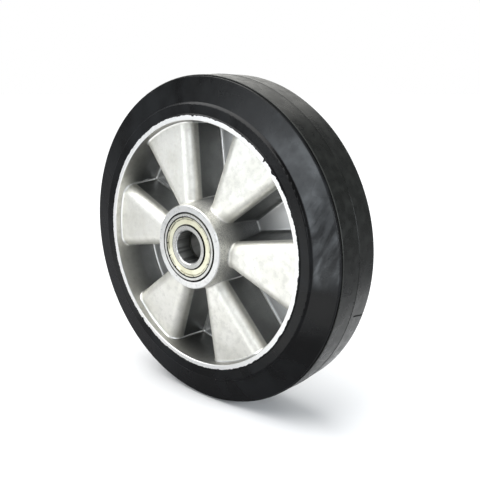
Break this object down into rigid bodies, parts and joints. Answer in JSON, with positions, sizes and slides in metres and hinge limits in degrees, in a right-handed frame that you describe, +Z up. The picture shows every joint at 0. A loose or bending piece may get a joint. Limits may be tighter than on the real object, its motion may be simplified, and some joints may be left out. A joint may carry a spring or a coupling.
{
  "type": "shock-absorbing industrial wheel",
  "caption": "Heavy-duty wheel with a thick solid elastic rubber tyre on a cast aluminium centre with a folded spoke web, turning on shielded ball bearings over a plain axle bore.",
  "frame": {"origin": "wheel centre, on the axle line at mid-width", "axes": "+Y along the axle from the outer face to the back, +Z up, +X completes the right-handed frame; the wheel spins about +Y"},
  "size_m": [0.25, 0.07, 0.25],
  "materials": {
    "tyre_rubber": "semi-gloss moulded rubber",
    "cast_aluminium": "satin die casting with turned lip and hub faces",
    "sleeve_steel": "drawn tube, plain",
    "bearing_steel": "ground",
    "shield_plate": "yellowish zinc plate",
    "cage_steel": "pressed sheet",
    "ball_steel": "polished"
  },
  "bodies": {
    "axle_side": {"spacer_sleeve": "sleeve_steel", "front_inner_ring": "bearing_steel", "rear_inner_ring": "bearing_steel"},
    "wheel": {"tyre": "tyre_rubber", "wheel_centre": "cast_aluminium", "front_outer_ring": "bearing_steel", "front_outboard_shield": "shield_plate", "front_inboard_shield": "shield_plate", "rear_outer_ring": "bearing_steel", "rear_outboard_shield": "shield_plate", "rear_inboard_shield": "shield_plate"},
    "front_cage": {"front_outboard_cage": "cage_steel", "front_inboard_cage": "cage_steel", "front_cage_rivets": "cage_steel"},
    "front_ball_1": {"front_ball_1": "ball_steel"},
    "front_ball_2": {"front_ball_2": "ball_steel"},
    "front_ball_3": {"front_ball_3": "ball_steel"},
    "front_ball_4": {"front_ball_4": "ball_steel"},
    "front_ball_5": {"front_ball_5": "ball_steel"},
    "front_ball_6": {"front_ball_6": "ball_steel"},
    "front_ball_7": {"front_ball_7": "ball_steel"},
    "front_ball_8": {"front_ball_8": "ball_steel"},
    "front_ball_9": {"front_ball_9": "ball_steel"},
    "rear_cage": {"rear_outboard_cage": "cage_steel", "rear_inboard_cage": "cage_steel", "rear_cage_rivets": "cage_steel"},
    "rear_ball_1": {"rear_ball_1": "ball_steel"},
    "rear_ball_2": {"rear_ball_2": "ball_steel"},
    "rear_ball_3": {"rear_ball_3": "ball_steel"},
    "rear_ball_4": {"rear_ball_4": "ball_steel"},
    "rear_ball_5": {"rear_ball_5": "ball_steel"},
    "rear_ball_6": {"rear_ball_6": "ball_steel"},
    "rear_ball_7": {"rear_ball_7": "ball_steel"},
    "rear_ball_8": {"rear_ball_8": "ball_steel"},
    "rear_ball_9": {"rear_ball_9": "ball_steel"}
  },
  "joints": [
    {"name": "wheel_spin", "type": "hinge", "parent": "axle_side", "child": "wheel", "pos_m": [0, 0, 0], "axis": [0, 1, 0], "continuous": true},
    {"name": "front_cage_spin", "type": "hinge", "parent": "axle_side", "child": "front_cage", "pos_m": [0, -0.0275, 0], "axis": [0, 1, 0], "continuous": true},
    {"name": "front_ball_1_roll", "type": "hinge", "parent": "front_cage", "child": "front_ball_1", "pos_m": [0.01925, -0.0275, 0], "axis": [0, 1, 0], "continuous": true},
    {"name": "front_ball_2_roll", "type": "hinge", "parent": "front_cage", "child": "front_ball_2", "pos_m": [0.01475, -0.0275, 0.01237], "axis": [0, 1, 0], "continuous": true},
    {"name": "front_ball_3_roll", "type": "hinge", "parent": "front_cage", "child": "front_ball_3", "pos_m": [0.00334, -0.0275, 0.01896], "axis": [0, 1, 0], "continuous": true},
    {"name": "front_ball_4_roll", "type": "hinge", "parent": "front_cage", "child": "front_ball_4", "pos_m": [-0.00962, -0.0275, 0.01667], "axis": [0, 1, 0], "continuous": true},
    {"name": "front_ball_5_roll", "type": "hinge", "parent": "front_cage", "child": "front_ball_5", "pos_m": [-0.01809, -0.0275, 0.00658], "axis": [0, 1, 0], "continuous": true},
    {"name": "front_ball_6_roll", "type": "hinge", "parent": "front_cage", "child": "front_ball_6", "pos_m": [-0.01809, -0.0275, -0.00658], "axis": [0, 1, 0], "continuous": true},
    {"name": "front_ball_7_roll", "type": "hinge", "parent": "front_cage", "child": "front_ball_7", "pos_m": [-0.00962, -0.0275, -0.01667], "axis": [0, 1, 0], "continuous": true},
    {"name": "front_ball_8_roll", "type": "hinge", "parent": "front_cage", "child": "front_ball_8", "pos_m": [0.00334, -0.0275, -0.01896], "axis": [0, 1, 0], "continuous": true},
    {"name": "front_ball_9_roll", "type": "hinge", "parent": "front_cage", "child": "front_ball_9", "pos_m": [0.01475, -0.0275, -0.01237], "axis": [0, 1, 0], "continuous": true},
    {"name": "rear_cage_spin", "type": "hinge", "parent": "axle_side", "child": "rear_cage", "pos_m": [0, 0.0275, 0], "axis": [0, 1, 0], "continuous": true},
    {"name": "rear_ball_1_roll", "type": "hinge", "parent": "rear_cage", "child": "rear_ball_1", "pos_m": [-0.01925, 0.0275, 0], "axis": [0, 1, 0], "continuous": true},
    {"name": "rear_ball_2_roll", "type": "hinge", "parent": "rear_cage", "child": "rear_ball_2", "pos_m": [-0.01475, 0.0275, 0.01237], "axis": [0, 1, 0], "continuous": true},
    {"name": "rear_ball_3_roll", "type": "hinge", "parent": "rear_cage", "child": "rear_ball_3", "pos_m": [-0.00334, 0.0275, 0.01896], "axis": [0, 1, 0], "continuous": true},
    {"name": "rear_ball_4_roll", "type": "hinge", "parent": "rear_cage", "child": "rear_ball_4", "pos_m": [0.00962, 0.0275, 0.01667], "axis": [0, 1, 0], "continuous": true},
    {"name": "rear_ball_5_roll", "type": "hinge", "parent": "rear_cage", "child": "rear_ball_5", "pos_m": [0.01809, 0.0275, 0.00658], "axis": [0, 1, 0], "continuous": true},
    {"name": "rear_ball_6_roll", "type": "hinge", "parent": "rear_cage", "child": "rear_ball_6", "pos_m": [0.01809, 0.0275, -0.00658], "axis": [0, 1, 0], "continuous": true},
    {"name": "rear_ball_7_roll", "type": "hinge", "parent": "rear_cage", "child": "rear_ball_7", "pos_m": [0.00962, 0.0275, -0.01667], "axis": [0, 1, 0], "continuous": true},
    {"name": "rear_ball_8_roll", "type": "hinge", "parent": "rear_cage", "child": "rear_ball_8", "pos_m": [-0.00334, 0.0275, -0.01896], "axis": [0, 1, 0], "continuous": true},
    {"name": "rear_ball_9_roll", "type": "hinge", "parent": "rear_cage", "child": "rear_ball_9", "pos_m": [-0.01475, 0.0275, -0.01237], "axis": [0, 1, 0], "continuous": true}
  ],
  "couplings": [
    {"joint": "front_cage_spin", "follows": "wheel_spin", "ratio": 0.60309},
    {"joint": "front_ball_1_roll", "follows": "wheel_spin", "ratio": 2.322},
    {"joint": "front_ball_2_roll", "follows": "wheel_spin", "ratio": 2.322},
    {"joint": "front_ball_3_roll", "follows": "wheel_spin", "ratio": 2.322},
    {"joint": "front_ball_4_roll", "follows": "wheel_spin", "ratio": 2.322},
    {"joint": "front_ball_5_roll", "follows": "wheel_spin", "ratio": 2.322},
    {"joint": "front_ball_6_roll", "follows": "wheel_spin", "ratio": 2.322},
    {"joint": "front_ball_7_roll", "follows": "wheel_spin", "ratio": 2.322},
    {"joint": "front_ball_8_roll", "follows": "wheel_spin", "ratio": 2.322},
    {"joint": "front_ball_9_roll", "follows": "wheel_spin", "ratio": 2.322},
    {"joint": "rear_cage_spin", "follows": "wheel_spin", "ratio": 0.60309},
    {"joint": "rear_ball_1_roll", "follows": "wheel_spin", "ratio": 2.322},
    {"joint": "rear_ball_2_roll", "follows": "wheel_spin", "ratio": 2.322},
    {"joint": "rear_ball_3_roll", "follows": "wheel_spin", "ratio": 2.322},
    {"joint": "rear_ball_4_roll", "follows": "wheel_spin", "ratio": 2.322},
    {"joint": "rear_ball_5_roll", "follows": "wheel_spin", "ratio": 2.322},
    {"joint": "rear_ball_6_roll", "follows": "wheel_spin", "ratio": 2.322},
    {"joint": "rear_ball_7_roll", "follows": "wheel_spin", "ratio": 2.322},
    {"joint": "rear_ball_8_roll", "follows": "wheel_spin", "ratio": 2.322},
    {"joint": "rear_ball_9_roll", "follows": "wheel_spin", "ratio": 2.322}
  ]
}
